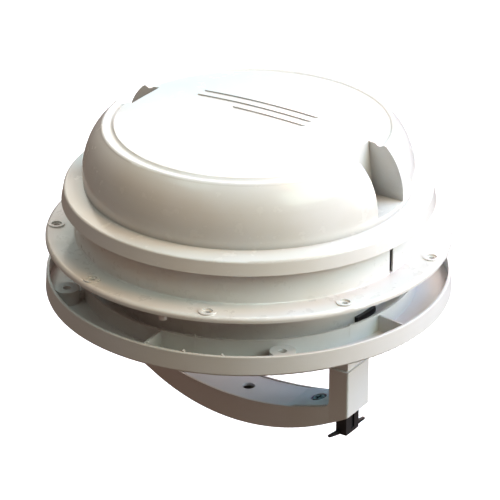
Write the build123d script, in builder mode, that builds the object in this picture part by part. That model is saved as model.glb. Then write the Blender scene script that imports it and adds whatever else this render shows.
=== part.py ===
from build123d import *
import os
from math import cos, radians, sin, sqrt

# Roof vent for a caravan: a domed lid that a handle below the ceiling pushes up on two arms,
# a roof base with a fan in its duct, and the ceiling ring that closes the cut-out from inside.
# Millimetres. Z is up, the vent's axis is Z, and Z = 0 is the roof flange's lower face.

# ---- driving dimensions -------------------------------------------------------------------
FLANGE_R = 146.0            # roof flange, outer radius
FLANGE_TOP = 4.0            # upper face of the flange
PLATE_BOTTOM = 1.5          # lower face of the flange's plate, inside its rim
RIM_WIDTH = 3.0
COLLAR_R = 124.4            # rain collar under the lid
COLLAR_TOP = 34.0
WALL = 2.5                  # moulded wall thickness
DUCT_R = 101.5              # duct through the roof
DUCT_BORE = DUCT_R - WALL
DUCT_BOTTOM = -38.1

SCREW_CIRCLE = 276.6        # nine roof screws
SCREW_COUNT = 9
SCREW_HOLE_R = 2.25
SCREW_PHASE = 18.3
BOSS_R = 6.0
PEG_AZIMUTH = -114.5        # locating peg under the flange's rim

RING_OUTER_TOP = 146.0      # ceiling ring
RING_OUTER_BOTTOM = 146.9
RING_TOP = -25.5
RING_BOTTOM = -40.1
RING_WALL = 2.0
RING_INNER = 121.6
RING_BORE = 97.0
TOWER_CIRCLE = 268.0        # two opposite pairs of towers for the ceiling screws
TOWER_AZIMUTHS = (15.0, 100.0)
TOWER_R = 9.0
TOWER_HOLE_R = 2.95
TOWER_RECESS_R = 6.4
TOWER_RECESS = 4.0
TOWER_TOP = -27.7
RIB_AZIMUTHS = (59.8, 138.6)
INNER_STOPS = (72.0, 125.5)  # azimuths of small stops on the channel's walls
OUTER_STOPS = (72.0, 82.8)
SLOT_WIDTH = 4.0            # drain slot in the rain collar
SLOT_ACROSS = -9.2
SLOT_THIN = 123.1           # the collar's wall is thinned to here behind the slot

LIFT_AZIMUTH = -33.0        # direction of the line through both lift arms
SIDES = ("front", "rear")
LID_WALL = 2.4
LID_RIM_R = 133.8
LID_RIM_Z = 29.7
LEDGE_R = 131.9
LEDGE_Z = 39.6
SIDE_R = 117.9
SIDE_Z = 41.8
CROWN_R = 95.4
CROWN_Z = 85.4
CROWN_TOP = 91.2
POCKET_FLOOR = 46.7         # pockets in the lid for the arm screws
POCKET_HALF = 17.2
POCKET_BACK_LOW = 92.8
POCKET_BACK_HIGH = 88.8
POCKET_SCREW_R = 102.3

ARM_IN = 80.0               # lift arm, distances from the axis
ARM_OUT = 92.2
ARM_HALF = 12.5
ARM_BOTTOM = -101.0
FOOT_BOTTOM = 39.0
FOOT_TOP = POCKET_FLOOR - LID_WALL
FOOT_OUT = 110.0

LEG_IN = 78.2               # handle's legs
LEG_OUT = 94.0
LEG_HALF = 15.0
LEG_EDGE_R = 1.6
LEG_TOP = -81.8
LEG_FOOT = -118.0
GRIP_TOP_MID = -125.1       # drooping bar between the legs
GRIP_TOP_END = -113.1
GRIP_BOTTOM_MID = -144.9
GRIP_HALF = 19.0
GRIP_WALL = 2.6
COVER_SINK = 0.4            # cover's middle, below the grip's rim
COVER_RISE = 0.7            # its screw seats, above the rim
COVER_RAMP = (43.0, 51.0)
COVER_THICK = 2.4
COVER_LEDGE = 1.6
COVER_SCREW_U = 60.6
COVER_HOLE_R = 4.75
COVER_POCKET_R = 6.0
COVER_POCKET = 1.5

STEM_IN = 80.7              # latch below the front leg
STEM_OUT = 89.4
STEM_HALF = 8.7
STEM_TOP = -108.0
STEM_GROOVE = 4.4
TEE_U = 84.3                # the latch's crossbar
TEE_HALF = 19.3
TEE_TURN = -10.0
TEE_THICK = (3.4, 2.2)      # across, at the stem and at the tips
TEE_TOP = -134.0
TEE_BOTTOM = -137.0
TEE_TIP = -135.4
ROD_IN = 83.4
ROD_OUT = 88.1
ROD_HALF = 5.0
ROD_ROOM_TOP = -25.7
WEDGE_START = -38.5
WEDGE_SLOPE = 2.0 / 3.0     # bolt travel for each millimetre of latch travel
BOLT_BOTTOM = -37.7
BOLT_TOP = -34.6
BOLT_HALF = 7.0
BOLT_SHIFT = -4.3           # the bolt's head sits to one side of its rod
KEEPER_R = 104.2
KEEPER_WALL = 1.0
KEEPER_SPAN = (-17.2, 5.0)
SLIDE_GAP = 0.3

FAN_BORE = 75.6             # fan shroud
FAN_WALL = 1.8
SHROUD_TOP = 20.0
SHROUD_PLATE = -11.5
SHROUD_SCREW_R = 91.0
BLADE_TIP = 74.2
BLADES = 5
MOTOR_R = 18.0
MOTOR_BOTTOM = -24.0
MOTOR_TOP = -5.0
SHAFT_R = 1.6
RUNNING_GAP = 0.05
GUARD_BOTTOM = -36.5
GUARD_TOP = -33.5
GUIDE_BOTTOM = -31.4
GUIDE_TOP = 14.0
GUIDE_SCREWS = (-20.5, 20.5)
GUIDE_SCREW_Z = -22.0
GROMMET_AZIMUTH = 100.0
GROMMET_Z = -19.0

os.makedirs("parts", exist_ok=True)


# ---- planes and shared shapes -------------------------------------------------------------
def lift_plan(side=0, height=0.0):
    """Level plane whose X axis runs out along the lift arms' line on one side."""
    turn = radians(LIFT_AZIMUTH + 180 * side)
    return Plane(origin=(0, 0, height), x_dir=(cos(turn), sin(turn), 0), z_dir=(0, 0, 1))


def lift_section(side=0):
    """Upright plane through the lift arms' line: X runs out along it and Y runs up."""
    turn = radians(LIFT_AZIMUTH + 180 * side)
    return Plane(origin=(0, 0, 0), x_dir=(cos(turn), sin(turn), 0), z_dir=(sin(turn), -cos(turn), 0))


def outward_plane(azimuth, out, across=0.0, height=0.0):
    """Upright plane that faces away from the axis: X is level, Y runs up and Z points out."""
    turn = radians(azimuth)
    origin = (out * cos(turn) - across * sin(turn), out * sin(turn) + across * cos(turn), height)
    return Plane(origin=origin, x_dir=(-sin(turn), cos(turn), 0), z_dir=(cos(turn), sin(turn), 0))


def inset(points, depth):
    """Corners of a line moved square to it, to its right-hand side, by the given depth."""
    normals = []
    for (x0, y0), (x1, y1) in zip(points, points[1:]):
        length = sqrt((x1 - x0) ** 2 + (y1 - y0) ** 2)
        normals.append(((y1 - y0) / length, (x0 - x1) / length))
    befores = normals[:1] + normals
    afters = normals + normals[-1:]
    moved = []
    for (x, y), (ax, ay), (bx, by) in zip(points, befores, afters):
        scale = depth / (1 + ax * bx + ay * by)
        moved.append((x + (ax + bx) * scale, y + (ay + by) * scale))
    return moved


def lid_skin(depth):
    """Half section under the lid's skin, from the axis out, at a depth below the surface."""
    corners = inset(
        [
            (LID_RIM_R, LID_RIM_Z),
            (LEDGE_R, LEDGE_Z),
            (SIDE_R, SIDE_Z),
            (118.3, 54.0),
            (115.2, 67.5),
            (110.8, 76.6),
            (105.2, 83.4),
            (102.8, 84.9),
            (100.4, 84.0),
            (97.8, 83.8),
            (CROWN_R, CROWN_Z),
        ],
        -depth,
    )
    floor = LID_RIM_Z
    rim, ledge, side = corners[:3]
    edge_r, edge_z = corners[-1]
    top = (0, CROWN_TOP - depth)
    rise = top[1] - edge_z
    sphere_r = (edge_r**2 + rise**2) / (2 * rise)
    half_way = (edge_r / 2, top[1] - sphere_r + sqrt(sphere_r**2 - edge_r**2 / 4))
    with BuildLine() as skin:
        Polyline((0, floor), (rim[0], floor), ledge, side)
        for start in (2, 4, 6, 8):
            ThreePointArc(*corners[start : start + 3])
        # the crown is a true sphere about the axis
        ThreePointArc(corners[-1], half_way, top)
        Line(top, (0, floor))
    return skin.line


def pocket(side, growth):
    """Pocket in the lid over one arm, open outwards, grown on every side by a wall."""
    floor = POCKET_FLOOR - growth
    half = POCKET_HALF + growth
    low = POCKET_BACK_LOW - growth
    high = POCKET_BACK_HIGH - growth
    with BuildPart(mode=Mode.PRIVATE) as shape:
        with BuildSketch(lift_section(side)):
            Polygon((low, floor), (140, floor), (140, 100), (high - 2, 100), align=None)
        extrude(amount=half, both=True)
    return shape.part


def ring(outer, inner, low, high):
    """Plain ring about the vent's axis."""
    with BuildPart(mode=Mode.PRIVATE) as shape:
        with BuildSketch(Plane.XY.offset(low)):
            Circle(outer)
            Circle(inner, mode=Mode.SUBTRACT)
        extrude(amount=high - low)
    return shape.part


# ---- roof base ----------------------------------------------------------------------------
with BuildPart() as roof_flange:
    with BuildSketch(Plane.XZ):
        with BuildLine():
            Polyline(
                (DUCT_BORE, DUCT_BOTTOM),
                (DUCT_R, DUCT_BOTTOM),
                (DUCT_R, 0),
                (DUCT_R + WALL, 0),
                (DUCT_R + WALL, PLATE_BOTTOM),
                (FLANGE_R - RIM_WIDTH, PLATE_BOTTOM),
                (FLANGE_R - RIM_WIDTH, 0),
                (FLANGE_R, 0),
                (FLANGE_R, FLANGE_TOP),
                (COLLAR_R, FLANGE_TOP),
                (COLLAR_R, COLLAR_TOP),
                (COLLAR_R - WALL, COLLAR_TOP),
                (COLLAR_R - WALL, FLANGE_TOP),
                (DUCT_BORE, FLANGE_TOP),
                close=True,
            )
        make_face()
        fillet(vertices().sort_by_distance((FLANGE_R, FLANGE_TOP, 0))[:1], radius=2.6)
        fillet(vertices().sort_by_distance((COLLAR_R, FLANGE_TOP, 0))[:1], radius=1.0)
        fillet(vertices().sort_by_distance((COLLAR_R, COLLAR_TOP, 0))[:1], radius=0.8)
    revolve(axis=Axis.Z)
    # raised seats for the roof screws
    with BuildSketch():
        with PolarLocations(SCREW_CIRCLE / 2, SCREW_COUNT, start_angle=SCREW_PHASE):
            Circle(BOSS_R)
    extrude(amount=FLANGE_TOP + 0.9)
    with BuildSketch(Plane.XY.offset(FLANGE_TOP - 0.4)):
        with PolarLocations(SCREW_CIRCLE / 2, SCREW_COUNT, start_angle=SCREW_PHASE):
            Circle(BOSS_R - 2.2)
    extrude(amount=3, mode=Mode.SUBTRACT)
    with BuildSketch():
        with PolarLocations(SCREW_CIRCLE / 2, SCREW_COUNT, start_angle=SCREW_PHASE):
            Circle(SCREW_HOLE_R)
    extrude(amount=10, mode=Mode.SUBTRACT)
    # pillars in the duct that the shroud is screwed to
    with BuildSketch(Plane.XY.offset(SHROUD_PLATE + 2)):
        with PolarLocations(SHROUD_SCREW_R, 4, start_angle=LIFT_AZIMUTH + 45):
            Circle(4.5)
            with Locations((4.6, 0)):
                Rectangle(7.2, 4)
    extrude(amount=PLATE_BOTTOM + 0.5 - SHROUD_PLATE - 2)
    with BuildSketch(Plane.XY.offset(PLATE_BOTTOM)):
        with PolarLocations(SHROUD_SCREW_R, 4, start_angle=LIFT_AZIMUTH + 45):
            Circle(4.5)
            with Locations((6.0, 0)):
                Rectangle(10, 9)
    extrude(amount=FLANGE_TOP - PLATE_BOTTOM)
    with BuildSketch(Plane.XY.offset(SHROUD_PLATE)):
        with PolarLocations(SHROUD_SCREW_R, 4, start_angle=LIFT_AZIMUTH + 45):
            Circle(1.55)
    extrude(amount=12.5, mode=Mode.SUBTRACT)
    # a notch in the duct's lower edge for the latch's bolt
    with BuildSketch(lift_plan(0, DUCT_BOTTOM)):
        with Locations((DUCT_R, BOLT_SHIFT)):
            Rectangle(12, 2 * BOLT_HALF + 2)
    extrude(amount=BOLT_TOP + 0.7 - DUCT_BOTTOM, mode=Mode.SUBTRACT)
    # a drain slot in the collar beside each arm
    for side in range(2):
        with BuildSketch(lift_plan(side, FLANGE_TOP + 0.4)):
            with Locations((COLLAR_R - 2, SLOT_ACROSS)):
                Rectangle(12, SLOT_WIDTH)
            with Locations((SLOT_THIN - 3, SLOT_ACROSS)):
                Rectangle(6, 2 * SLOT_WIDTH)
        extrude(amount=COLLAR_TOP, mode=Mode.SUBTRACT)
        # holes for the guides' screws
        for across in GUIDE_SCREWS:
            azimuth = LIFT_AZIMUTH + 180 * side
            with BuildSketch(outward_plane(azimuth, DUCT_BORE - 6, across, GUIDE_SCREW_Z)):
                Circle(1.55)
            extrude(amount=7.6, mode=Mode.SUBTRACT)
    # hole for the wire grommet
    with BuildSketch(outward_plane(GROMMET_AZIMUTH, DUCT_BORE - 5, 0, GROMMET_Z)):
        Circle(4.5)
    extrude(amount=12, mode=Mode.SUBTRACT)
    # short locating peg under the rim
    with BuildSketch(Plane.XY.offset(-5)):
        with PolarLocations(141.0, 1, start_angle=PEG_AZIMUTH):
            Circle(2.8)
    extrude(amount=6.8)
roof_flange.part.label = "roof_flange"
export_step(roof_flange.part, "parts/roof_flange.step")

# ---- ceiling ring -------------------------------------------------------------------------
with BuildPart() as trim_ring:
    with BuildSketch(Plane.XZ):
        with BuildLine():
            Polyline(
                (RING_BORE, RING_BOTTOM),
                (RING_OUTER_BOTTOM, RING_BOTTOM),
                (RING_OUTER_TOP, RING_TOP),
                (RING_OUTER_TOP - RING_WALL, RING_TOP),
                (RING_OUTER_BOTTOM - RING_WALL, RING_BOTTOM + RING_WALL),
                (RING_INNER + 0.2, RING_BOTTOM + RING_WALL),
                (RING_INNER, RING_TOP),
                (RING_INNER - RING_WALL, RING_TOP),
                (RING_INNER - RING_WALL, RING_BOTTOM + RING_WALL),
                (RING_BORE, RING_BOTTOM + RING_WALL),
                close=True,
            )
        make_face()
        fillet(vertices().sort_by_distance((RING_OUTER_BOTTOM, RING_BOTTOM, 0))[:1], radius=1.6)
        fillet(vertices().sort_by_distance((RING_OUTER_TOP, RING_TOP, 0))[:1], radius=0.8)
    revolve(axis=Axis.Z)
    # screw towers, each tied to the inner wall by a web
    for azimuth in TOWER_AZIMUTHS:
        with BuildSketch(Plane.XY.offset(RING_BOTTOM + 1)):
            with PolarLocations(TOWER_CIRCLE / 2, 2, start_angle=azimuth):
                Circle(TOWER_R)
        extrude(amount=TOWER_TOP - RING_BOTTOM - 1)
        with BuildSketch(Plane.XY.offset(RING_BOTTOM + 1)):
            with PolarLocations(RING_INNER + 3, 2, start_angle=azimuth):
                Rectangle(8, 2)
        extrude(amount=RING_TOP - RING_BOTTOM - 7)
        with BuildSketch(Plane.XY.offset(RING_BOTTOM)):
            with PolarLocations(TOWER_CIRCLE / 2, 2, start_angle=azimuth):
                Circle(TOWER_HOLE_R)
        extrude(amount=TOWER_TOP + 1 - RING_BOTTOM, mode=Mode.SUBTRACT)
        with BuildSketch(Plane.XY.offset(RING_BOTTOM)):
            with PolarLocations(TOWER_CIRCLE / 2, 2, start_angle=azimuth):
                Circle(TOWER_RECESS_R)
        extrude(amount=TOWER_RECESS, mode=Mode.SUBTRACT)
    # radial ribs across the channel
    channel = RING_OUTER_TOP - RING_WALL - RING_INNER
    for azimuth in RIB_AZIMUTHS:
        with BuildSketch(Plane.XY.offset(RING_BOTTOM + 1)):
            with PolarLocations(RING_INNER + channel / 2, 2, start_angle=azimuth):
                Rectangle(channel + 1.4, 1.8)
        extrude(amount=RING_TOP - RING_BOTTOM - 1.8)
    # small stops that stand on the channel's walls
    for wall, azimuths in ((RING_INNER - 1, INNER_STOPS), (RING_OUTER_TOP - 2.2, OUTER_STOPS)):
        for azimuth in azimuths:
            with BuildSketch(Plane.XY.offset(RING_BOTTOM + 1)):
                with PolarLocations(wall, 2, start_angle=azimuth):
                    Rectangle(2.4, 1.4)
            extrude(amount=RING_TOP - RING_BOTTOM - 0.2)
trim_ring.part.label = "trim_ring"
export_step(trim_ring.part, "parts/trim_ring.step")

# ---- arm guides, screwed inside the duct ---------------------------------------------------
for side, name in enumerate(SIDES):
    azimuth = LIFT_AZIMUTH + 180 * side
    with BuildPart() as arm_guide:
        with BuildSketch(lift_plan(side, GUIDE_BOTTOM)):
            with Locations((88.3, 0)):
                Rectangle(21.2, 2 * ARM_HALF + 7.4)
            with Locations((93.0, 0)):
                Rectangle(16, 2 * ARM_HALF + 0.6, mode=Mode.SUBTRACT)
            with Locations((ARM_IN - 0.3 + 6.5, 0)):
                Rectangle(13, 2 * ARM_HALF + 0.6, mode=Mode.SUBTRACT)
            for across in (-1, 1):
                with Locations((93.5, across * (ARM_HALF + 0.2))):
                    Rectangle(1.6, 1.8)
        extrude(amount=GUIDE_TOP - GUIDE_BOTTOM)
        # ears that the screws hold, below the shroud's plate
        with BuildSketch(lift_plan(side, GUIDE_BOTTOM)):
            for across in (-1, 1):
                with Locations((96.2, across * 20.5)):
                    Rectangle(5.4, 11)
        extrude(amount=SHROUD_PLATE - 1.5 - GUIDE_BOTTOM)
        with BuildSketch(Plane.XY.offset(GUIDE_BOTTOM)):
            Circle(DUCT_BORE - 0.1)
        extrude(amount=GUIDE_TOP - GUIDE_BOTTOM, mode=Mode.INTERSECT)
        for across in GUIDE_SCREWS:
            with BuildSketch(outward_plane(azimuth, 90, across, GUIDE_SCREW_Z)):
                Circle(1.6)
            extrude(amount=12, mode=Mode.SUBTRACT)
    arm_guide.part.label = f"arm_guide_{name}"
    export_step(arm_guide.part, f"parts/arm_guide_{name}.step")

with BuildPart() as guide_screws:
    for side in range(2):
        for across in GUIDE_SCREWS:
            azimuth = LIFT_AZIMUTH + 180 * side
            with BuildSketch(outward_plane(azimuth, 91.4, across, GUIDE_SCREW_Z)):
                Circle(2.9)
                RegularPolygon(1.3, 6, mode=Mode.SUBTRACT)
            extrude(amount=1.2)
            with BuildSketch(outward_plane(azimuth, 92.4, across, GUIDE_SCREW_Z)):
                Circle(2.9)
            extrude(amount=1.1)
            with BuildSketch(outward_plane(azimuth, 93.4, across, GUIDE_SCREW_Z)):
                Circle(1.5)
            extrude(amount=6.6)
guide_screws.part.label = "guide_screws"
export_step(guide_screws.part, "parts/guide_screws.step")

# ---- fan ----------------------------------------------------------------------------------
with BuildPart() as fan_shroud:
    add(ring(FAN_BORE + FAN_WALL, FAN_BORE, SHROUD_PLATE, SHROUD_TOP))
    add(ring(DUCT_BORE - 0.3, FAN_BORE, SHROUD_PLATE, SHROUD_PLATE + 2))
    for side in range(2):
        with BuildSketch(lift_plan(side, SHROUD_PLATE - 1)):
            with Locations((FAN_BORE + FAN_WALL + 0.05 + 15, 0)):
                Rectangle(30, 2 * ARM_HALF + 8.4)
        extrude(amount=4, mode=Mode.SUBTRACT)
    # motor plate on three spokes
    with BuildSketch(Plane.XY.offset(MOTOR_TOP)):
        Circle(MOTOR_R + 2)
    extrude(amount=2.5)
    with BuildSketch(Plane.XY.offset(MOTOR_TOP - 1)):
        with PolarLocations((MOTOR_R + FAN_BORE) / 2 + 0.8, 3, start_angle=LIFT_AZIMUTH + 90):
            Rectangle(FAN_BORE - MOTOR_R + 1, 5)
    extrude(amount=3.5)
    with BuildSketch(Plane.XY.offset(SHROUD_PLATE)):
        with PolarLocations(FAN_BORE + 0.6, 3, start_angle=LIFT_AZIMUTH + 90):
            Rectangle(2.4, 9)
    extrude(amount=MOTOR_TOP + 2.5 - SHROUD_PLATE)
    with BuildSketch(Plane.XY.offset(MOTOR_TOP - 2)):
        Circle(5.2)
        with PolarLocations(12, 2):
            Circle(1.6)
    extrude(amount=6, mode=Mode.SUBTRACT)
    with BuildSketch(Plane.XY.offset(SHROUD_PLATE - 1)):
        with PolarLocations(SHROUD_SCREW_R, 4, start_angle=LIFT_AZIMUTH + 45):
            Circle(1.7)
    extrude(amount=4, mode=Mode.SUBTRACT)
fan_shroud.part.label = "fan_shroud"
export_step(fan_shroud.part, "parts/fan_shroud.step")

with BuildPart() as fan_motor:
    with BuildSketch(Plane.XY.offset(MOTOR_BOTTOM)):
        Circle(MOTOR_R)
    extrude(amount=MOTOR_TOP - MOTOR_BOTTOM)
    fillet(edges().group_by(Axis.Z)[0], radius=1.5)
    with BuildSketch(Plane.XY.offset(MOTOR_TOP)):
        Circle(4.8)
    extrude(amount=1.6)
    with BuildSketch(Plane.XY.offset(MOTOR_TOP - 15)):
        Circle(SHAFT_R + RUNNING_GAP)
    extrude(amount=20, mode=Mode.SUBTRACT)
    with BuildSketch(Plane.XY.offset(MOTOR_TOP - 4)):
        with PolarLocations(12, 2):
            Circle(1.25)
    extrude(amount=5, mode=Mode.SUBTRACT)
fan_motor.part.label = "fan_motor"
export_step(fan_motor.part, "parts/fan_motor.step")

with BuildPart() as motor_screws:
    with BuildSketch(Plane.XY.offset(MOTOR_TOP - 3.5)):
        with PolarLocations(12, 2):
            Circle(1.2)
    extrude(amount=6)
    with BuildSketch(Plane.XY.offset(MOTOR_TOP + 2.5)):
        with PolarLocations(12, 2):
            Circle(2.4)
    extrude(amount=1.4)
motor_screws.part.label = "motor_screws"
export_step(motor_screws.part, "parts/motor_screws.step")

with BuildPart() as motor_shaft:
    with BuildSketch(Plane.XY.offset(MOTOR_TOP - 14)):
        Circle(SHAFT_R)
    extrude(amount=34)
    chamfer(edges().group_by(Axis.Z)[-1], length=0.4)
motor_shaft.part.label = "motor_shaft"
export_step(motor_shaft.part, "parts/motor_shaft.step")

HUB_R = 19.0
HUB_BOTTOM = 0.6
HUB_TOP = 16.6
with BuildPart() as impeller:
    with BuildSketch(Plane.XY.offset(HUB_BOTTOM)):
        Circle(HUB_R)
    extrude(amount=HUB_TOP - HUB_BOTTOM)
    fillet(edges().group_by(Axis.Z)[-1], radius=3)
    with BuildSketch(Plane.XY.offset(HUB_BOTTOM)):
        Circle(HUB_R - 2)
        Circle(5, mode=Mode.SUBTRACT)
    extrude(amount=HUB_TOP - HUB_BOTTOM - 2.4, mode=Mode.SUBTRACT)
    for number in range(BLADES):
        turn = 360 / BLADES * number
        with BuildSketch(outward_plane(turn, HUB_R - 1.6, 0, 8.6)):
            Rectangle(17, 2.2, rotation=38)
        with BuildSketch(outward_plane(turn, BLADE_TIP + 1, 0, 8.6)):
            Rectangle(46, 1.8, rotation=17)
        loft()
    with BuildSketch():
        Circle(BLADE_TIP)
    extrude(amount=SHROUD_TOP, mode=Mode.INTERSECT)
    with BuildSketch():
        Circle(SHAFT_R)
    extrude(amount=30, mode=Mode.SUBTRACT)
impeller.part.label = "impeller"
export_step(impeller.part, "parts/impeller.step")

with BuildPart() as impeller_clip:
    with BuildSketch(Plane.XY.offset(HUB_TOP)):
        Circle(4.6)
        Circle(SHAFT_R, mode=Mode.SUBTRACT)
    extrude(amount=1.2)
impeller_clip.part.label = "impeller_clip"
export_step(impeller_clip.part, "parts/impeller_clip.step")

# ---- guard, insect screen and switch under the fan -----------------------------------------
GUARD_RINGS = (94.0 + 4.6, 77.2, 64.0, 51.0, 38.0)
HUB_PLATE_R = 25.0
with BuildPart() as fan_guard:
    with BuildSketch(Plane.XY.offset(GUARD_BOTTOM)):
        for outer in GUARD_RINGS:
            with BuildSketch(mode=Mode.PRIVATE) as hoop:
                Circle(outer)
                Circle(outer - 2.6, mode=Mode.SUBTRACT)
            add(hoop.sketch)
        Circle(HUB_PLATE_R)
        with PolarLocations((GUARD_RINGS[0] + HUB_PLATE_R) / 2 - 1, 8, start_angle=LIFT_AZIMUTH + 22.5):
            Rectangle(GUARD_RINGS[0] - HUB_PLATE_R, 2.4)
        with PolarLocations(SHROUD_SCREW_R, 4, start_angle=LIFT_AZIMUTH + 45):
            Circle(4.4)
            with Locations((-7.5, 0)):
                Rectangle(14, 3)
            with Locations((4.6, 0)):
                Rectangle(4.8, 3)
    extrude(amount=GUARD_TOP - GUARD_BOTTOM)
    with BuildSketch(Plane.XY.offset(GUARD_TOP)):
        with PolarLocations(SHROUD_SCREW_R, 4, start_angle=LIFT_AZIMUTH + 45):
            Circle(4.4)
    extrude(amount=SHROUD_PLATE - GUARD_TOP)
    for side in range(2):
        with BuildSketch(lift_plan(side, GUARD_BOTTOM)):
            with Locations((FAN_BORE + 2.0 + 15, 0)):
                Rectangle(30, 2 * LEG_HALF + 1.6)
        extrude(amount=5, mode=Mode.SUBTRACT)
    with BuildSketch(Plane.XY.offset(GUARD_BOTTOM)):
        Circle(4.1)
        with PolarLocations(SHROUD_SCREW_R, 4, start_angle=LIFT_AZIMUTH + 45):
            Circle(1.7)
    extrude(amount=30, mode=Mode.SUBTRACT)
fan_guard.part.label = "fan_guard"
export_step(fan_guard.part, "parts/fan_guard.step")

with BuildPart() as fan_screws:
    with BuildSketch(Plane.XY.offset(GUARD_BOTTOM)):
        with PolarLocations(SHROUD_SCREW_R, 4, start_angle=LIFT_AZIMUTH + 45):
            Circle(1.5)
    extrude(amount=36)
    with BuildSketch(Plane.XY.offset(GUARD_BOTTOM - 1.6)):
        with PolarLocations(SHROUD_SCREW_R, 4, start_angle=LIFT_AZIMUTH + 45):
            Circle(3.2)
    extrude(amount=1.6)
    with BuildSketch(Plane.XY.offset(GUARD_BOTTOM - 1.6)):
        with PolarLocations(SHROUD_SCREW_R, 4, start_angle=LIFT_AZIMUTH + 45):
            Rectangle(3.6, 0.9)
            Rectangle(0.9, 3.6)
    extrude(amount=1, mode=Mode.SUBTRACT)
fan_screws.part.label = "fan_screws"
export_step(fan_screws.part, "parts/fan_screws.step")

SCREEN_R = 74.0
with BuildPart() as screen_frame:
    add(ring(SCREEN_R, SCREEN_R - 3, GUARD_TOP, GUARD_TOP + 0.8))
    add(ring(SCREEN_R, SCREEN_R - 3, GUARD_TOP + 1.2, GUARD_TOP + 2))
    add(ring(SCREEN_R, SCREEN_R - 1, GUARD_TOP, GUARD_TOP + 2))
screen_frame.part.label = "screen_frame"
export_step(screen_frame.part, "parts/screen_frame.step")

with BuildPart() as insect_screen:
    add(ring(SCREEN_R - 1, 12.0, GUARD_TOP + 0.8, GUARD_TOP + 1.2))
insect_screen.part.label = "insect_screen"
export_step(insect_screen.part, "parts/insect_screen.step")

with BuildPart() as switch_body:
    with BuildSketch(Plane.XY.offset(GUARD_TOP)):
        RectangleRounded(15, 15, 1.5)
        Circle(3.1, mode=Mode.SUBTRACT)
    extrude(amount=8)
    with BuildSketch(Plane.XY.offset(GUARD_TOP + 6.5)):
        Circle(4)
    extrude(amount=1.5)
    with BuildSketch(Plane.XY.offset(GUARD_BOTTOM)):
        Circle(4.05)
        Circle(3.1, mode=Mode.SUBTRACT)
    extrude(amount=GUARD_TOP - GUARD_BOTTOM)
switch_body.part.label = "switch_body"
export_step(switch_body.part, "parts/switch_body.step")

KNOB_R = 11.0
KNOB_BOTTOM = -52.0
with BuildPart() as switch_knob:
    with BuildSketch(Plane.XY.offset(KNOB_BOTTOM)):
        Circle(KNOB_R)
    extrude(amount=GUARD_BOTTOM - 0.6 - KNOB_BOTTOM, taper=-4)
    fillet(edges().group_by(Axis.Z)[0], radius=1.2)
    with BuildSketch(Plane.XY.offset(KNOB_BOTTOM)):
        Circle(KNOB_R + 3)
        Circle(KNOB_R - 2.6, mode=Mode.SUBTRACT)
        Rectangle(4 * KNOB_R, 5.0, mode=Mode.SUBTRACT)
    extrude(amount=9, mode=Mode.SUBTRACT)
    with BuildSketch(Plane.XY.offset(KNOB_BOTTOM)):
        with Locations((KNOB_R - 3, 0)):
            Rectangle(6, 1.2)
    extrude(amount=0.6, mode=Mode.SUBTRACT)
    with BuildSketch(Plane.XY.offset(GUARD_BOTTOM - 0.8)):
        Circle(3.05)
    extrude(amount=8)
switch_knob.part.label = "switch_knob"
export_step(switch_knob.part, "parts/switch_knob.step")

with BuildPart() as wire_grommet:
    with BuildSketch(outward_plane(GROMMET_AZIMUTH, DUCT_BORE - 2.2, 0, GROMMET_Z)):
        Circle(6.4)
    extrude(amount=1.95)
    with BuildSketch(outward_plane(GROMMET_AZIMUTH, DUCT_R, 0, GROMMET_Z)):
        Circle(6.4)
    extrude(amount=1.8)
    with BuildSketch(outward_plane(GROMMET_AZIMUTH, DUCT_BORE - 1, 0, GROMMET_Z)):
        Circle(4.45)
    extrude(amount=4)
    with BuildSketch(outward_plane(GROMMET_AZIMUTH, DUCT_BORE - 5, 0, GROMMET_Z)):
        Circle(2.4)
    extrude(amount=12, mode=Mode.SUBTRACT)
wire_grommet.part.label = "wire_grommet"
export_step(wire_grommet.part, "parts/wire_grommet.step")

# ---- lid ----------------------------------------------------------------------------------
with BuildPart() as lid_cavity:
    with BuildSketch(Plane.XZ):
        with BuildLine():
            add(lid_skin(LID_WALL))
        make_face()
    revolve(axis=Axis.Z)
    for side in range(2):
        add(pocket(side, LID_WALL), mode=Mode.SUBTRACT)

with BuildPart() as crown_bars:
    with BuildSketch(Plane.XZ):
        with BuildLine():
            add(lid_skin(-0.9))
        make_face()
    revolve(axis=Axis.Z)
    with BuildSketch(lift_plan(0, CROWN_Z)):
        for row, length in enumerate((96, 96, 60)):
            with Locations((-6 + (96 - length) / 2, 26 - 9 * row)):
                SlotOverall(length, 4.2)
    extrude(amount=10, mode=Mode.INTERSECT)

with BuildPart() as dome_lid:
    with BuildSketch(Plane.XZ):
        with BuildLine():
            add(lid_skin(0))
        make_face()
        fillet(vertices().sort_by_distance((LEDGE_R, LEDGE_Z, 0))[:1], radius=1.8)
    revolve(axis=Axis.Z)
    add(crown_bars.part)
    for side in range(2):
        add(pocket(side, 0), mode=Mode.SUBTRACT)
    add(lid_cavity.part, mode=Mode.SUBTRACT)
    # ribs that hold the seal
    add(ring(120.3, 119.2, 35.6, 40.2))
    add(ring(127.0, 125.9, 35.6, 39.2))
    with BuildSketch(Plane.XY.offset(FOOT_TOP - 1)):
        with PolarLocations(POCKET_SCREW_R, 2, start_angle=LIFT_AZIMUTH):
            Circle(2.0)
    extrude(amount=6, mode=Mode.SUBTRACT)
dome_lid.part.label = "dome_lid"
export_step(dome_lid.part, "parts/dome_lid.step")

with BuildPart() as lid_seal:
    add(ring(125.7, 120.5, COLLAR_TOP + 0.3, 37.9))
lid_seal.part.label = "lid_seal"
export_step(lid_seal.part, "parts/lid_seal.step")

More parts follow.
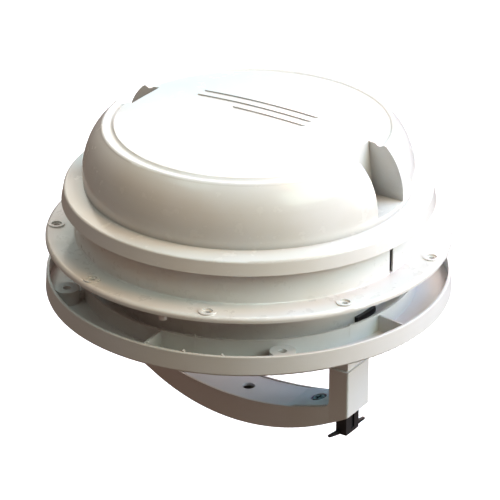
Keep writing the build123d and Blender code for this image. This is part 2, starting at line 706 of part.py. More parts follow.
with BuildPart() as lid_screws:
    with BuildSketch(Plane.XY.offset(POCKET_FLOOR)):
        with PolarLocations(POCKET_SCREW_R, 2, start_angle=LIFT_AZIMUTH):
            Circle(3.7)
    extrude(amount=2.2)
    fillet(edges().group_by(Axis.Z)[-1], radius=0.8)
    with BuildSketch(Plane.XY.offset(POCKET_FLOOR + 1)):
        with PolarLocations(POCKET_SCREW_R, 2, start_angle=LIFT_AZIMUTH):
            Rectangle(4.2, 1.1)
            Rectangle(1.1, 4.2)
    extrude(amount=2, mode=Mode.SUBTRACT)
    with BuildSketch(Plane.XY.offset(FOOT_BOTTOM + 0.6)):
        with PolarLocations(POCKET_SCREW_R, 2, start_angle=LIFT_AZIMUTH):
            Circle(1.9)
    extrude(amount=POCKET_FLOOR - FOOT_BOTTOM - 0.4)
lid_screws.part.label = "lid_screws"
export_step(lid_screws.part, "parts/lid_screws.step")

# ---- lift arms ----------------------------------------------------------------------------
for side, name in enumerate(SIDES):
    azimuth = LIFT_AZIMUTH + 180 * side
    with BuildPart() as lift_arm:
        with BuildSketch(lift_plan(side, ARM_BOTTOM)):
            with Locations(((ARM_IN + ARM_OUT) / 2, 0)):
                Rectangle(ARM_OUT - ARM_IN, 2 * ARM_HALF)
        extrude(amount=FOOT_TOP - ARM_BOTTOM)
        with BuildSketch(lift_section(side)):
            Polygon(
                (ARM_OUT - 1, 29),
                (FOOT_OUT, FOOT_BOTTOM),
                (FOOT_OUT, FOOT_TOP),
                (ARM_OUT - 1, FOOT_TOP),
                align=None,
            )
        extrude(amount=ARM_HALF, both=True)
        if side == 0:
            # room for the latch rod, and the slot its bolt slides in
            with BuildSketch(lift_plan(side, ARM_BOTTOM)):
                with Locations(((ROD_IN + ROD_OUT) / 2, 0)):
                    Rectangle(ROD_OUT - ROD_IN + 0.8, 2 * ROD_HALF + 0.8)
            extrude(amount=ROD_ROOM_TOP - ARM_BOTTOM, mode=Mode.SUBTRACT)
            with BuildSketch(lift_plan(side, BOLT_BOTTOM - 0.3)):
                with Locations((ROD_OUT + 3, 0)):
                    Rectangle(8, 2 * ROD_HALF + 0.6)
            extrude(amount=BOLT_TOP - BOLT_BOTTOM + 0.6, mode=Mode.SUBTRACT)
        with BuildSketch(lift_plan(side, FOOT_TOP - 5.4)):
            with Locations((POCKET_SCREW_R, 0)):
                Circle(1.95)
        extrude(amount=8, mode=Mode.SUBTRACT)
        with BuildSketch(outward_plane(azimuth, ARM_IN - 1, 0, LEG_TOP - 8)):
            Circle(1.45)
        extrude(amount=3.4, mode=Mode.SUBTRACT)
    lift_arm.part.label = f"lift_arm_{name}"
    export_step(lift_arm.part, f"parts/lift_arm_{name}.step")

# ---- handle -------------------------------------------------------------------------------
GRIP_END = LEG_IN


def grip_top(out, drop=0.0):
    """Height of the grip's drooping upper edge at a distance from the axis."""
    return GRIP_TOP_MID + (GRIP_TOP_END - GRIP_TOP_MID) * (out / GRIP_END) ** 2 - drop


def grip_plan(margin):
    """Plan of the grip between the legs, drawn in by a margin."""
    end = GRIP_END - margin
    with BuildSketch(mode=Mode.PRIVATE) as plan:
        with BuildLine():
            ThreePointArc((-end, LEG_HALF - margin), (0, GRIP_HALF - margin), (end, LEG_HALF - margin))
            Line((end, LEG_HALF - margin), (end, margin - LEG_HALF))
            ThreePointArc((end, margin - LEG_HALF), (0, margin - GRIP_HALF), (-end, margin - LEG_HALF))
            Line((-end, margin - LEG_HALF), (-end, LEG_HALF - margin))
        make_face()
    return plan.sketch


def cover_line(drop):
    """Side view of the cover's face: it follows the grip and steps up to a seat at each screw."""
    inner, outer = COVER_RAMP
    high = grip_top(inner, drop + COVER_SINK)
    low = grip_top(outer, drop - COVER_RISE)
    last = grip_top(GRIP_END, drop - COVER_RISE)
    with BuildLine(mode=Mode.PRIVATE) as line:
        Polyline((-GRIP_END, last), (-outer, low), (-inner, high))
        ThreePointArc((-inner, high), (0, grip_top(0, drop + COVER_SINK)), (inner, high))
        Polyline((inner, high), (outer, low), (GRIP_END, last))
        Polyline((GRIP_END, last), (GRIP_END, LEG_TOP), (-GRIP_END, LEG_TOP), (-GRIP_END, last))
    return line.line


def cover_room(margin, drop):
    """Space inside the grip above the cover's face lowered by a drop."""
    with BuildPart(mode=Mode.PRIVATE) as room:
        with BuildSketch(lift_section()):
            with BuildLine():
                add(cover_line(drop))
            make_face()
        extrude(amount=GRIP_HALF, both=True)
        with BuildSketch(lift_plan(0, GRIP_BOTTOM_MID)):
            add(grip_plan(margin))
        extrude(amount=75, mode=Mode.INTERSECT)
    return room.part


def seat_planes(depth):
    """A plane square to the cover's face at each of its screws, at a depth below the face."""
    ramp_end = COVER_RAMP[1]
    slope = (grip_top(GRIP_END) - grip_top(ramp_end)) / (GRIP_END - ramp_end)
    height = grip_top(ramp_end, -COVER_RISE) + slope * (COVER_SCREW_U - ramp_end)
    planes = []
    for side in range(2):
        turn = radians(LIFT_AZIMUTH + 180 * side)
        face = Plane(
            origin=(COVER_SCREW_U * cos(turn), COVER_SCREW_U * sin(turn), height),
            x_dir=(cos(turn), sin(turn), slope),
            z_dir=(-slope * cos(turn), -slope * sin(turn), 1),
        )
        planes.append(face.offset(-depth))
    return planes


def grip_hollow():
    """Hollow under the cover, around the two pillars that take the cover's screws."""
    margin = GRIP_WALL + COVER_LEDGE
    end = GRIP_END - margin
    low = GRIP_BOTTOM_MID + GRIP_WALL
    rise = (LEG_FOOT - GRIP_BOTTOM_MID) * (end / LEG_OUT) ** 2
    with BuildPart(mode=Mode.PRIVATE) as room:
        with BuildSketch(lift_section()):
            with BuildLine():
                ThreePointArc((-end, low + rise), (0, low), (end, low + rise))
                Polyline((end, low + rise), (end, LEG_TOP), (-end, LEG_TOP), (-end, low + rise))
            make_face()
        extrude(amount=GRIP_HALF, both=True)
        with BuildSketch(lift_plan(0, GRIP_BOTTOM_MID)):
            add(grip_plan(margin))
        extrude(amount=75, mode=Mode.INTERSECT)
        with BuildSketch(lift_plan(0, GRIP_BOTTOM_MID)):
            with Locations((-COVER_SCREW_U, 0), (COVER_SCREW_U, 0)):
                Circle(4.4)
        extrude(amount=75, mode=Mode.SUBTRACT)
    return room.part


with BuildPart() as handle_bar:
    with BuildSketch(lift_section()):
        with BuildLine():
            ThreePointArc((-LEG_OUT, LEG_FOOT), (0, GRIP_BOTTOM_MID), (LEG_OUT, LEG_FOOT))
            Polyline((LEG_OUT, LEG_FOOT), (LEG_OUT, LEG_TOP), (LEG_IN, LEG_TOP), (LEG_IN, GRIP_TOP_END))
            ThreePointArc((LEG_IN, GRIP_TOP_END), (0, GRIP_TOP_MID), (-LEG_IN, GRIP_TOP_END))
            Polyline((-LEG_IN, GRIP_TOP_END), (-LEG_IN, LEG_TOP), (-LEG_OUT, LEG_TOP), (-LEG_OUT, LEG_FOOT))
        make_face()
        fillet(vertices().sort_by_distance((LEG_IN, GRIP_TOP_END, 0))[:1], radius=6)
        fillet(vertices().sort_by_distance((-LEG_IN, GRIP_TOP_END, 0))[:1], radius=6)
    extrude(amount=GRIP_HALF + 1, both=True)
    with BuildSketch(lift_plan(0, GRIP_BOTTOM_MID - 1)):
        add(grip_plan(0))
        Rectangle(2 * LEG_OUT, 2 * LEG_HALF)
    extrude(amount=75, mode=Mode.INTERSECT)
    uprights = edges().filter_by(Axis.Z).filter_by(lambda edge: edge.length > 30)
    outer_uprights = uprights.filter_by(lambda edge: edge.center().X ** 2 + edge.center().Y ** 2 > 90 ** 2)
    fillet(outer_uprights, radius=LEG_EDGE_R)
    add(grip_hollow(), mode=Mode.SUBTRACT)
    add(cover_room(COVER_LEDGE, COVER_THICK), mode=Mode.SUBTRACT)
    with BuildSketch(*seat_planes(COVER_THICK + 9)):
        Circle(1.85)
    extrude(amount=12, mode=Mode.SUBTRACT)
    # the latch's passage up to the front arm's socket
    with BuildSketch(lift_plan(0, GRIP_BOTTOM_MID)):
        with Locations(((STEM_IN + STEM_OUT) / 2, 0)):
            Rectangle(STEM_OUT - STEM_IN + 2 * SLIDE_GAP, 2 * STEM_HALF + 2 * SLIDE_GAP)
    extrude(amount=ARM_BOTTOM - GRIP_BOTTOM_MID, mode=Mode.SUBTRACT)
    for side in range(2):
        # socket for the arm and a hole for the leg's screw
        with BuildSketch(lift_plan(side, ARM_BOTTOM - 0.3)):
            with Locations(((ARM_IN + ARM_OUT) / 2, 0)):
                Rectangle(ARM_OUT - ARM_IN + 0.4, 2 * ARM_HALF + 0.4)
        extrude(amount=30, mode=Mode.SUBTRACT)
        with BuildSketch(outward_plane(LIFT_AZIMUTH + 180 * side, LEG_IN - 1, 0, LEG_TOP - 8)):
            Circle(1.6)
        extrude(amount=4, mode=Mode.SUBTRACT)
handle_bar.part.label = "handle_bar"
export_step(handle_bar.part, "parts/handle_bar.step")

with BuildPart() as handle_cover:
    add(cover_room(COVER_LEDGE + 0.35, COVER_THICK))
    add(cover_room(COVER_LEDGE + 0.35, 0), mode=Mode.SUBTRACT)
    with BuildSketch(lift_plan(0, GRIP_BOTTOM_MID)):
        Circle(COVER_HOLE_R)
    extrude(amount=50, mode=Mode.SUBTRACT)
    with BuildSketch(*seat_planes(COVER_POCKET)):
        Circle(COVER_POCKET_R)
    extrude(amount=6, mode=Mode.SUBTRACT)
    with BuildSketch(*seat_planes(COVER_THICK + 2)):
        Circle(1.9)
    extrude(amount=4, mode=Mode.SUBTRACT)
handle_cover.part.label = "handle_cover"
export_step(handle_cover.part, "parts/handle_cover.step")

with BuildPart() as handle_screws:
    with BuildSketch(*seat_planes(COVER_POCKET)):
        Circle(4.9)
    extrude(amount=1.3)
    fillet(edges().filter_by(GeomType.CIRCLE).sort_by(Axis.Z)[-2:], radius=0.6)
    with BuildSketch(*seat_planes(COVER_POCKET - 0.5)):
        Rectangle(6.4, 1.4)
        Rectangle(1.4, 6.4)
    extrude(amount=2, mode=Mode.SUBTRACT)
    with BuildSketch(*seat_planes(COVER_POCKET + 8)):
        Circle(1.7)
    extrude(amount=8.3)
handle_screws.part.label = "handle_screws"
export_step(handle_screws.part, "parts/handle_screws.step")

with BuildPart() as leg_screws:
    for side in range(2):
        azimuth = LIFT_AZIMUTH + 180 * side
        with BuildSketch(outward_plane(azimuth, LEG_IN - 1.4, 0, LEG_TOP - 8)):
            Circle(2.8)
            RegularPolygon(1.2, 6, mode=Mode.SUBTRACT)
        extrude(amount=0.9)
        with BuildSketch(outward_plane(azimuth, LEG_IN - 0.6, 0, LEG_TOP - 8)):
            Circle(2.8)
        extrude(amount=0.6)
        with BuildSketch(outward_plane(azimuth, LEG_IN - 0.2, 0, LEG_TOP - 8)):
            Circle(1.4)
        extrude(amount=4.4)
leg_screws.part.label = "leg_screws"
export_step(leg_screws.part, "parts/leg_screws.step")

# ---- latch --------------------------------------------------------------------------------
with BuildPart() as latch_knob:
    # crossbar with bowed lower face, turned a little about the stem
    middle, tips = TEE_THICK
    with BuildSketch(lift_plan(0, TEE_BOTTOM)):
        with Locations((TEE_U, 0)):
            with Locations(Rotation(0, 0, TEE_TURN)):
                Polygon(
                    (middle / 2, 0),
                    (tips / 2, TEE_HALF),
                    (-tips / 2, TEE_HALF),
                    (-middle / 2, 0),
                    (-tips / 2, -TEE_HALF),
                    (tips / 2, -TEE_HALF),
                    align=None,
                )
        with Locations(((STEM_IN + STEM_OUT) / 2, 0)):
            Rectangle(STEM_OUT - STEM_IN, 2 * STEM_HALF)
    extrude(amount=TEE_TOP - TEE_BOTTOM)
    with BuildSketch(outward_plane(LIFT_AZIMUTH, STEM_IN - 10)):
        with BuildLine():
            ThreePointArc((-TEE_HALF, TEE_TIP), (0, TEE_BOTTOM), (TEE_HALF, TEE_TIP))
            Polyline((TEE_HALF, TEE_TIP), (TEE_HALF, TEE_TOP), (-TEE_HALF, TEE_TOP), (-TEE_HALF, TEE_TIP))
        make_face()
    extrude(amount=30, mode=Mode.INTERSECT)
    # stem with a groove down its outer face
    with BuildSketch(lift_plan(0, TEE_TOP)):
        with Locations(((STEM_IN + STEM_OUT) / 2, 0)):
            Rectangle(STEM_OUT - STEM_IN, 2 * STEM_HALF)
        with Locations((STEM_OUT, 0.4)):
            Rectangle(2.6, STEM_GROOVE, mode=Mode.SUBTRACT)
    extrude(amount=STEM_TOP - TEE_TOP)
    # rod up the arm, with a ramp that drives the bolt
    ramp = ROD_OUT - ROD_IN - 0.5
    ramp_top = WEDGE_START + ramp / WEDGE_SLOPE
    with BuildSketch(lift_section()):
        Polygon(
            (ROD_IN, STEM_TOP - 1),
            (ROD_OUT, STEM_TOP - 1),
            (ROD_OUT, WEDGE_START),
            (ROD_OUT - ramp, ramp_top),
            (ROD_IN, ramp_top),
            align=None,
        )
    extrude(amount=ROD_HALF, both=True)
latch_knob.part.label = "latch_knob"
export_step(latch_knob.part, "parts/latch_knob.step")

with BuildPart() as latch_bolt:
    foot = ROD_OUT + SLIDE_GAP - WEDGE_SLOPE * (BOLT_BOTTOM - WEDGE_START)
    head = ROD_OUT + SLIDE_GAP - WEDGE_SLOPE * (BOLT_TOP - WEDGE_START)
    with BuildSketch(lift_section()):
        Polygon((foot, BOLT_BOTTOM), (94, BOLT_BOTTOM), (94, BOLT_TOP), (head, BOLT_TOP), align=None)
    extrude(amount=ROD_HALF - 0.1, both=True)
    with BuildSketch(lift_plan(0, BOLT_BOTTOM)):
        with Locations((ARM_OUT + 0.8 + 5, BOLT_SHIFT)):
            Rectangle(10, 2 * BOLT_HALF)
    extrude(amount=BOLT_TOP - BOLT_BOTTOM)
    with BuildSketch(Plane.XY.offset(BOLT_BOTTOM)):
        Circle(DUCT_BORE - 0.5)
    extrude(amount=BOLT_TOP - BOLT_BOTTOM, mode=Mode.INTERSECT)
latch_bolt.part.label = "latch_bolt"
export_step(latch_bolt.part, "parts/latch_bolt.step")

with BuildPart() as bolt_keeper:
    # cap outside the duct's notch, open below and towards the bolt
    low, high = KEEPER_SPAN
    with BuildSketch(lift_plan(0, BOLT_BOTTOM - 0.2)):
        with Locations((DUCT_R, (low + high) / 2)):
            Rectangle(20, high - low)
    extrude(amount=BOLT_TOP + 1 - BOLT_BOTTOM + 0.2)
    add(ring(KEEPER_R, DUCT_R, BOLT_BOTTOM - 1, BOLT_TOP + 2), mode=Mode.INTERSECT)
    with BuildSketch(lift_plan(0, BOLT_BOTTOM - 1)):
        Circle(KEEPER_R - KEEPER_WALL)
        with Locations((DUCT_R, BOLT_SHIFT)):
            Rectangle(20, 2 * BOLT_HALF + 1.2, mode=Mode.INTERSECT)
    extrude(amount=BOLT_TOP + 1.3 - BOLT_BOTTOM, mode=Mode.SUBTRACT)
bolt_keeper.part.label = "bolt_keeper"
export_step(bolt_keeper.part, "parts/bolt_keeper.step")
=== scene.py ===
import bpy
from math import ceil, cos, floor, pi, radians, sin, sqrt
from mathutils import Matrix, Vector


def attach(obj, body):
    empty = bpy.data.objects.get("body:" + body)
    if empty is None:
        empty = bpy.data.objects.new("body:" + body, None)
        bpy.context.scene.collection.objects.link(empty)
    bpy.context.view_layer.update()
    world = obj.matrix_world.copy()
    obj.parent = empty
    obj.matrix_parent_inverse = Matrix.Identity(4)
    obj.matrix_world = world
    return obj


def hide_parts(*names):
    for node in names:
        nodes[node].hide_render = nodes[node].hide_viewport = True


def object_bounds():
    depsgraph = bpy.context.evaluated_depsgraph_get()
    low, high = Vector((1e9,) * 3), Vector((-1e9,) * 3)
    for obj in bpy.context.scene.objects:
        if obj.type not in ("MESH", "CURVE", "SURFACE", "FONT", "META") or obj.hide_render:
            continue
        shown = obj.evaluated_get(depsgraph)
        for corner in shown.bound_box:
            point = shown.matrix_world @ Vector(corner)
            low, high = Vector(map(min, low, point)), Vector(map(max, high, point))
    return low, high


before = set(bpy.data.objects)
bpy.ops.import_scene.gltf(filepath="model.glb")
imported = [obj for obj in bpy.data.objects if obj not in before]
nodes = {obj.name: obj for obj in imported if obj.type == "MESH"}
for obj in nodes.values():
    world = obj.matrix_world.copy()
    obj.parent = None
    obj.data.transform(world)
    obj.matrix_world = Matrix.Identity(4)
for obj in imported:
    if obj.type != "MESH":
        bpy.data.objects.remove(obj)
cad_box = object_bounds()
scene = bpy.context.scene
scene.view_settings.view_transform = "Standard"

# ---------------------------------------------------------------- camera
LOOK_AT = Vector((0.0009, 0.0, -0.0146))
CAMERA_DISTANCE = 2.163
CAMERA_ELEVATION = radians(25.64)
LENS = 216.0


def make_camera():
    """A long lens from the front, looking down on the object."""
    data = bpy.data.cameras.new("camera")
    data.lens = LENS
    data.sensor_width = 36.0
    data.clip_start = 0.05
    data.clip_end = 50.0
    camera = bpy.data.objects.new("camera", data)
    back = Vector((0.0, -cos(CAMERA_ELEVATION), sin(CAMERA_ELEVATION)))
    camera.location = LOOK_AT + back * CAMERA_DISTANCE
    camera.rotation_mode = "QUATERNION"
    camera.rotation_quaternion = back.to_track_quat("Z", "Y")
    scene.collection.objects.link(camera)
    scene.camera = camera


# ---------------------------------------------------------------- studio
# name, azimuth and elevation of the panel seen from the object, its power and colour
# The powers and colours here, and the world's, were solved by a separate program so that the
# render's tones match tones read from the photograph. They were not chosen by hand.
PANELS = [
    ("side_low", 0, 8, 31.5, (1.00, 0.92, 0.83)),
    ("back_low", 90, 8, 3.6, (0.29, 0.83, 1.00)),
    ("front", -48, 35, 11.2, (0.84, 1.00, 0.83)),
    ("key", -15, 35, 24.6, (0.54, 0.85, 1.00)),
    ("key_cool", 15, 35, 10.2, (0.29, 0.12, 1.00)),
    ("back", 75, 35, 16.2, (1.00, 0.61, 0.56)),
    ("back_fill", 105, 35, 7.5, (1.00, 0.98, 0.88)),
    ("left_top", -150, 62, 6.6, (0.75, 1.00, 0.95)),
    ("top_front", -30, 62, 20.1, (1.00, 0.54, 0.27)),
    ("top_back", 30, 62, 21.9, (0.37, 0.82, 1.00)),
]
PANEL_SIZE = 1.0
PANEL_DISTANCE = 2.2
FLOOR_HALF = 6.0
FLOOR_PAINT = (0.9, 0.9, 0.9)
FLOOR_ROUGHNESS = 0.9
FLOOR_DROP = 0.30
FLOOR_GLOW = 0.6
WORLD_COLOUR = (1.0, 0.68, 0.55)
WORLD_STRENGTH = 0.16


def make_panel(name, azimuth, elevation, power, colour):
    """A soft square light that faces the object."""
    data = bpy.data.lights.new(name, "AREA")
    data.shape = "RECTANGLE"
    data.size = PANEL_SIZE
    data.size_y = PANEL_SIZE
    data.energy = power
    data.color = colour
    panel = bpy.data.objects.new(name, data)
    az, el = radians(azimuth), radians(elevation)
    out = Vector((cos(az) * cos(el), sin(az) * cos(el), sin(el)))
    panel.location = LOOK_AT + out * PANEL_DISTANCE
    panel.rotation_mode = "QUATERNION"
    panel.rotation_quaternion = out.to_track_quat("Z", "Y")
    scene.collection.objects.link(panel)


def make_world():
    """An even, faint glow from all round."""
    world = bpy.data.worlds.new("studio")
    scene.world = world
    world.use_nodes = True
    background = world.node_tree.nodes["Background"]
    background.inputs["Color"].default_value = (*WORLD_COLOUR, 1.0)
    background.inputs["Strength"].default_value = WORLD_STRENGTH


def make_floor():
    """A plain pale floor well below the object."""
    height = cad_box[0].z - FLOOR_DROP
    mesh = bpy.data.meshes.new("floor")
    turns = ((-1, -1), (1, -1), (1, 1), (-1, 1))
    corners = [(x * FLOOR_HALF, y * FLOOR_HALF, height) for x, y in turns]
    mesh.from_pydata(corners, [], [(0, 1, 2, 3)])
    ground = bpy.data.objects.new("floor", mesh)
    scene.collection.objects.link(ground)
    material = bpy.data.materials.new("floor_paint")
    material.use_nodes = True
    shader = material.node_tree.nodes["Principled BSDF"]
    shader.inputs["Base Color"].default_value = (*FLOOR_PAINT, 1.0)
    shader.inputs["Roughness"].default_value = FLOOR_ROUGHNESS
    shader.inputs["Emission Color"].default_value = (1.0, 1.0, 1.0, 1.0)
    shader.inputs["Emission Strength"].default_value = FLOOR_GLOW
    mesh.materials.append(material)
    ground.visible_diffuse = False
    ground.visible_glossy = False


# ---------------------------------------------------------------- materials
class Surface:
    """Builds one node material on a Principled shader."""

    def __init__(self, name, **sockets):
        self.material = bpy.data.materials.new(name)
        self.material.use_nodes = True
        self.tree = self.material.node_tree
        self.shader = self.tree.nodes["Principled BSDF"]
        for socket, value in sockets.items():
            self.shader.inputs[socket.replace("_", " ")].default_value = value
        self.place = self.tree.nodes.new("ShaderNodeTexCoord").outputs["Object"]
        self.height = None

    def noise(self, size, detail=2.0, roughness=0.5):
        """Cloudy pattern with lumps of about the given size in metres."""
        node = self.tree.nodes.new("ShaderNodeTexNoise")
        node.inputs["Scale"].default_value = 1.0 / size
        node.inputs["Detail"].default_value = detail
        node.inputs["Roughness"].default_value = roughness
        self.tree.links.new(self.place, node.inputs["Vector"])
        return node.outputs["Fac"]

    def cells(self, size):
        """Distance to scattered points about the given size apart."""
        node = self.tree.nodes.new("ShaderNodeTexVoronoi")
        node.inputs["Scale"].default_value = 1.0 / size
        self.tree.links.new(self.place, node.inputs["Vector"])
        return node.outputs["Distance"]

    def spread(self, value, low, high, to_low, to_high):
        """Maps a pattern's span on to another span."""
        node = self.tree.nodes.new("ShaderNodeMapRange")
        for socket, number in zip(node.inputs[1:5], (low, high, to_low, to_high)):
            socket.default_value = number
        self.tree.links.new(value, node.inputs["Value"])
        return node.outputs["Result"]

    def colours(self, value, *stops):
        """Colours the pattern by (place, colour) stops."""
        node = self.tree.nodes.new("ShaderNodeValToRGB")
        ramp = node.color_ramp
        while len(ramp.elements) < len(stops):
            ramp.elements.new(0.5)
        for element, (place, colour) in zip(ramp.elements, stops):
            element.position = place
            element.color = (*colour, 1.0)
        self.tree.links.new(value, node.inputs["Fac"])
        return node.outputs["Color"]

    def blend(self, factor, one, two):
        """Mixes two colours."""
        node = self.tree.nodes.new("ShaderNodeMix")
        node.data_type = "RGBA"
        for socket, value in ((node.inputs[0], factor), (node.inputs[6], one), (node.inputs[7], two)):
            if isinstance(value, (float, tuple)):
                socket.default_value = value
            else:
                self.tree.links.new(value, socket)
        return node.outputs[2]

    def paint(self, colour):
        """The pattern that gives the surface its colour."""
        self.tree.links.new(colour, self.shader.inputs["Base Color"])

    def roughen(self, value, low, high):
        """Roughness that follows a pattern."""
        self.tree.links.new(self.spread(value, 0.3, 0.7, low, high), self.shader.inputs["Roughness"])

    def bump(self, value, depth):
        """Adds a relief of the given depth in metres over those before it."""
        node = self.tree.nodes.new("ShaderNodeBump")
        node.inputs["Distance"].default_value = depth
        self.tree.links.new(value, node.inputs["Height"])
        if self.height is not None:
            self.tree.links.new(self.height, node.inputs["Normal"])
        self.height = node.outputs["Normal"]
        self.tree.links.new(self.height, self.shader.inputs["Normal"])


def shade(colour, factor):
    """The colour made darker or paler by a factor."""
    return tuple(min(1.0, channel * factor) for channel in colour)


# sizes and depths of the plastic's patterns are in metres, the rest are shares
CLOUD_SIZE = 0.045
SPECK_SIZE = 0.006
PATCH_SIZE = 0.03
SMEAR_SIZE = 0.012
WAVE_SIZE = 0.014
DUST_MOST = 0.08
DUST_SHADE = 0.62
# ambient-occlusion levels and darkness of the painted shade in crevices and recesses
PAINTED_SHADE_SHUT = 0.3
PAINTED_SHADE_OPEN = 0.72
PAINTED_SHADE_DARKNESS = 0.3
WARM = (1.0, 0.985, 0.95)
NEUTRAL = (1.0, 1.0, 1.0)
COOL = (0.97, 0.99, 1.0)


def plastic(
    name, colour, roughness, grain, grain_depth, wave_depth=0.0, coat=0.0, tint=WARM, painted_shade_reach=0.0
):
    """Moulded plastic: cloudy tone, faint specks, flow waves, a fine grain and painted shade that darkens
    its crevices and recesses.
    """
    surface = Surface(name, IOR=1.49, Coat_Weight=coat, Coat_Roughness=0.08)
    cloud = surface.noise(CLOUD_SIZE, 3.0)
    warm = tuple(c * t for c, t in zip(shade(colour, 0.96), tint))
    tone = surface.colours(cloud, (0.35, colour), (0.7, warm))
    specks = surface.spread(surface.cells(SPECK_SIZE), 0.03, 0.07, 1.0, 0.0)
    patches = surface.spread(surface.noise(PATCH_SIZE, 2.0), 0.55, 0.7, 0.0, DUST_MOST)
    dust = surface.tree.nodes.new("ShaderNodeMath")
    dust.operation = "MULTIPLY"
    surface.tree.links.new(specks, dust.inputs[0])
    surface.tree.links.new(patches, dust.inputs[1])
    tone = surface.blend(dust.outputs[0], tone, (*shade(colour, DUST_SHADE), 1.0))
    # painted shade: where ambient occlusion finds a crevice or recess, the colour is darkened
    if painted_shade_reach:
        occlusion = surface.tree.nodes.new("ShaderNodeAmbientOcclusion")
        occlusion.inputs["Distance"].default_value = painted_shade_reach
        painted_shade = surface.spread(occlusion.outputs["AO"], PAINTED_SHADE_SHUT, PAINTED_SHADE_OPEN, 1.0, 0.0)
        tone = surface.blend(painted_shade, tone, (*shade(colour, PAINTED_SHADE_DARKNESS), 1.0))
    surface.paint(tone)
    surface.roughen(surface.noise(SMEAR_SIZE, 4.0, 0.6), roughness * 0.82, roughness * 1.2)
    if wave_depth:
        surface.bump(surface.noise(WAVE_SIZE, 1.0), wave_depth)
    surface.bump(surface.noise(grain, 2.0, 0.6), grain_depth)
    return surface.material


METAL_STRETCH = (1.0, 1.0, 14.0)


def metal(name, colour, roughness):
    """Metal with fine drawn lines and a few duller patches."""
    surface = Surface(name, Metallic=1.0)
    mapping = surface.tree.nodes.new("ShaderNodeMapping")
    mapping.inputs["Scale"].default_value = METAL_STRETCH
    surface.tree.links.new(surface.place, mapping.inputs["Vector"])
    surface.place = mapping.outputs["Vector"]
    lines = surface.noise(0.0016, 3.0, 0.7)
    surface.paint(surface.colours(lines, (0.3, shade(colour, 0.82)), (0.7, shade(colour, 1.1))))
    surface.roughen(surface.noise(0.004, 3.0), roughness * 0.75, roughness * 1.3)
    surface.bump(lines, 0.00002)
    return surface.material


def rubber(name, colour):
    """Dull rubber with a bloom of paler dust."""
    surface = Surface(name, IOR=1.5, Specular_IOR_Level=0.35)
    bloom = surface.noise(0.008, 4.0, 0.65)
    surface.paint(surface.colours(bloom, (0.4, colour), (0.75, shade(colour, 1.9))))
    surface.roughen(bloom, 0.62, 0.85)
    surface.bump(surface.noise(0.0008, 2.0), 0.00003)
    return surface.material


DOME_WHITE = (0.80, 0.795, 0.775)
BASE_WHITE = (0.78, 0.775, 0.755)
RING_GREY = (0.70, 0.70, 0.69)
HANDLE_WHITE = (0.72, 0.715, 0.70)
# the handle cover's grey, made bluer and paler as painted cool light falling on it from above
COVER_GREY_AND_COOL_LIGHT = (0.70, 0.76, 0.82)
BLACK = (0.012, 0.013, 0.015)
FAN_GREY = (0.22, 0.225, 0.23)
STEEL = (0.56, 0.56, 0.55)
MOTOR = (0.46, 0.46, 0.46)
RUBBER = (0.022, 0.022, 0.023)
SCREW_BLACK = (0.05, 0.05, 0.052)

MATERIALS = {
    # the dome's colour carries painted shade in its crevices and recesses
    "dome": plastic(
        "dome_plastic", DOME_WHITE, roughness=0.24, grain=0.0012, grain_depth=0.000006,
        wave_depth=0.00006, coat=0.35, painted_shade_reach=0.035,
    ),
    "base": plastic(
        "base_plastic", BASE_WHITE, roughness=0.30, grain=0.0010, grain_depth=0.00001,
        wave_depth=0.00004, coat=0.15,
    ),
    "ring": plastic("ring_plastic", RING_GREY, roughness=0.40, grain=0.0008, grain_depth=0.00002),
    "handle": plastic("handle_plastic", HANDLE_WHITE, roughness=0.42, grain=0.0007, grain_depth=0.00003),
    "cover": plastic(
        "cover_plastic", COVER_GREY_AND_COOL_LIGHT, roughness=0.40, grain=0.0006, grain_depth=0.00003, tint=COOL
    ),
    "black": plastic(
        "black_nylon", BLACK, roughness=0.42, grain=0.0006, grain_depth=0.00004, tint=NEUTRAL
    ),
    "fan": plastic(
        "fan_plastic", FAN_GREY, roughness=0.45, grain=0.0008, grain_depth=0.00003, tint=NEUTRAL
    ),
    "steel": metal("screw_steel", STEEL, roughness=0.30),
    "dark_steel": metal("screw_black", SCREW_BLACK, roughness=0.38),
    "motor": metal("motor_steel", MOTOR, roughness=0.34),
    "rubber": rubber("seal_rubber", RUBBER),
}

DRESS = {
    "dome": ["dome_lid"],
    "base": ["roof_flange", "fan_shroud", "fan_guard"],
    "ring": ["trim_ring", "screen_frame"],
    "handle": ["lift_arm_front", "lift_arm_rear", "handle_bar"],
    "cover": ["handle_cover"],
    "black": ["latch_knob", "latch_bolt", "bolt_keeper", "switch_body", "switch_knob"],
    "fan": ["arm_guide_front", "arm_guide_rear", "impeller"],
    "steel": ["guide_screws", "motor_screws", "fan_screws", "leg_screws", "motor_shaft", "impeller_clip"],
    "dark_steel": ["lid_screws", "handle_screws"],
    "motor": ["fan_motor"],
    "rubber": ["lid_seal", "wire_grommet"],
}


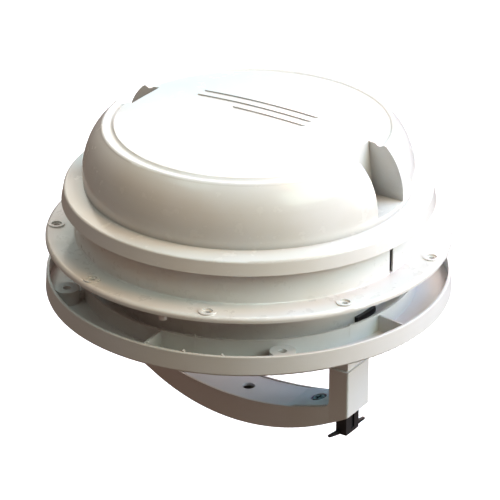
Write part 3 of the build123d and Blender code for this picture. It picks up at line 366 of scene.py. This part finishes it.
def dress():
    """Gives every CAD node its material."""
    for key, names in DRESS.items():
        for name in names:
            for slot in nodes[name].material_slots:
                slot.link = "OBJECT"
                slot.material = MATERIALS[key]


# ---------------------------------------------------------------- insect screen
SCREEN_PITCH = 0.0024
SCREEN_HEIGHT = -0.0325
SCREEN_INNER = 0.012
SCREEN_OUTER = 0.073
WIRE_HALF = 0.00017
WEAVE = 0.00021


def wire_runs(offset):
    """Spans of a straight wire at an offset from the axis, between the screen's rim and its hub."""
    reach = sqrt(SCREEN_OUTER**2 - offset**2)
    if abs(offset) >= SCREEN_INNER:
        return [(-reach, reach)]
    gap = sqrt(SCREEN_INNER**2 - offset**2)
    return [(-reach, -gap), (gap, reach)]


def woven_screen():
    """Square-section wires that pass over and under one another."""
    verts = []
    faces = []
    rows = int(SCREEN_OUTER / SCREEN_PITCH)
    for turned in (False, True):
        for row in range(-rows, rows + 1):
            offset = row * SCREEN_PITCH
            for start, end in wire_runs(offset):
                first = ceil(start / SCREEN_PITCH * 2)
                last = floor(end / SCREEN_PITCH * 2)
                base = len(verts)
                for step in range(first, last + 1):
                    wave = cos(pi * (step / 2 + row)) * WEAVE * (-1 if turned else 1)
                    for across, up in ((-1, -1), (1, -1), (1, 1), (-1, 1)):
                        along = step * SCREEN_PITCH / 2
                        side = offset + across * WIRE_HALF
                        height = SCREEN_HEIGHT + wave + up * WIRE_HALF
                        verts.append((side, along, height) if turned else (along, side, height))
                for ring in range(last - first):
                    near = base + 4 * ring
                    for corner in range(4):
                        other = (corner + 1) % 4
                        face = (near + corner, near + other, near + 4 + other, near + 4 + corner)
                        faces.append(face[::-1] if turned else face)
    mesh = bpy.data.meshes.new("screen_weave")
    mesh.from_pydata(verts, [], faces)
    weave = bpy.data.objects.new("screen_weave", mesh)
    scene.collection.objects.link(weave)
    mesh.materials.append(MATERIALS["motor"])
    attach(weave, "vent_base")
    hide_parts("insect_screen")


make_camera()
make_world()
make_floor()
for row in PANELS:
    make_panel(*row)
dress()
woven_screen()
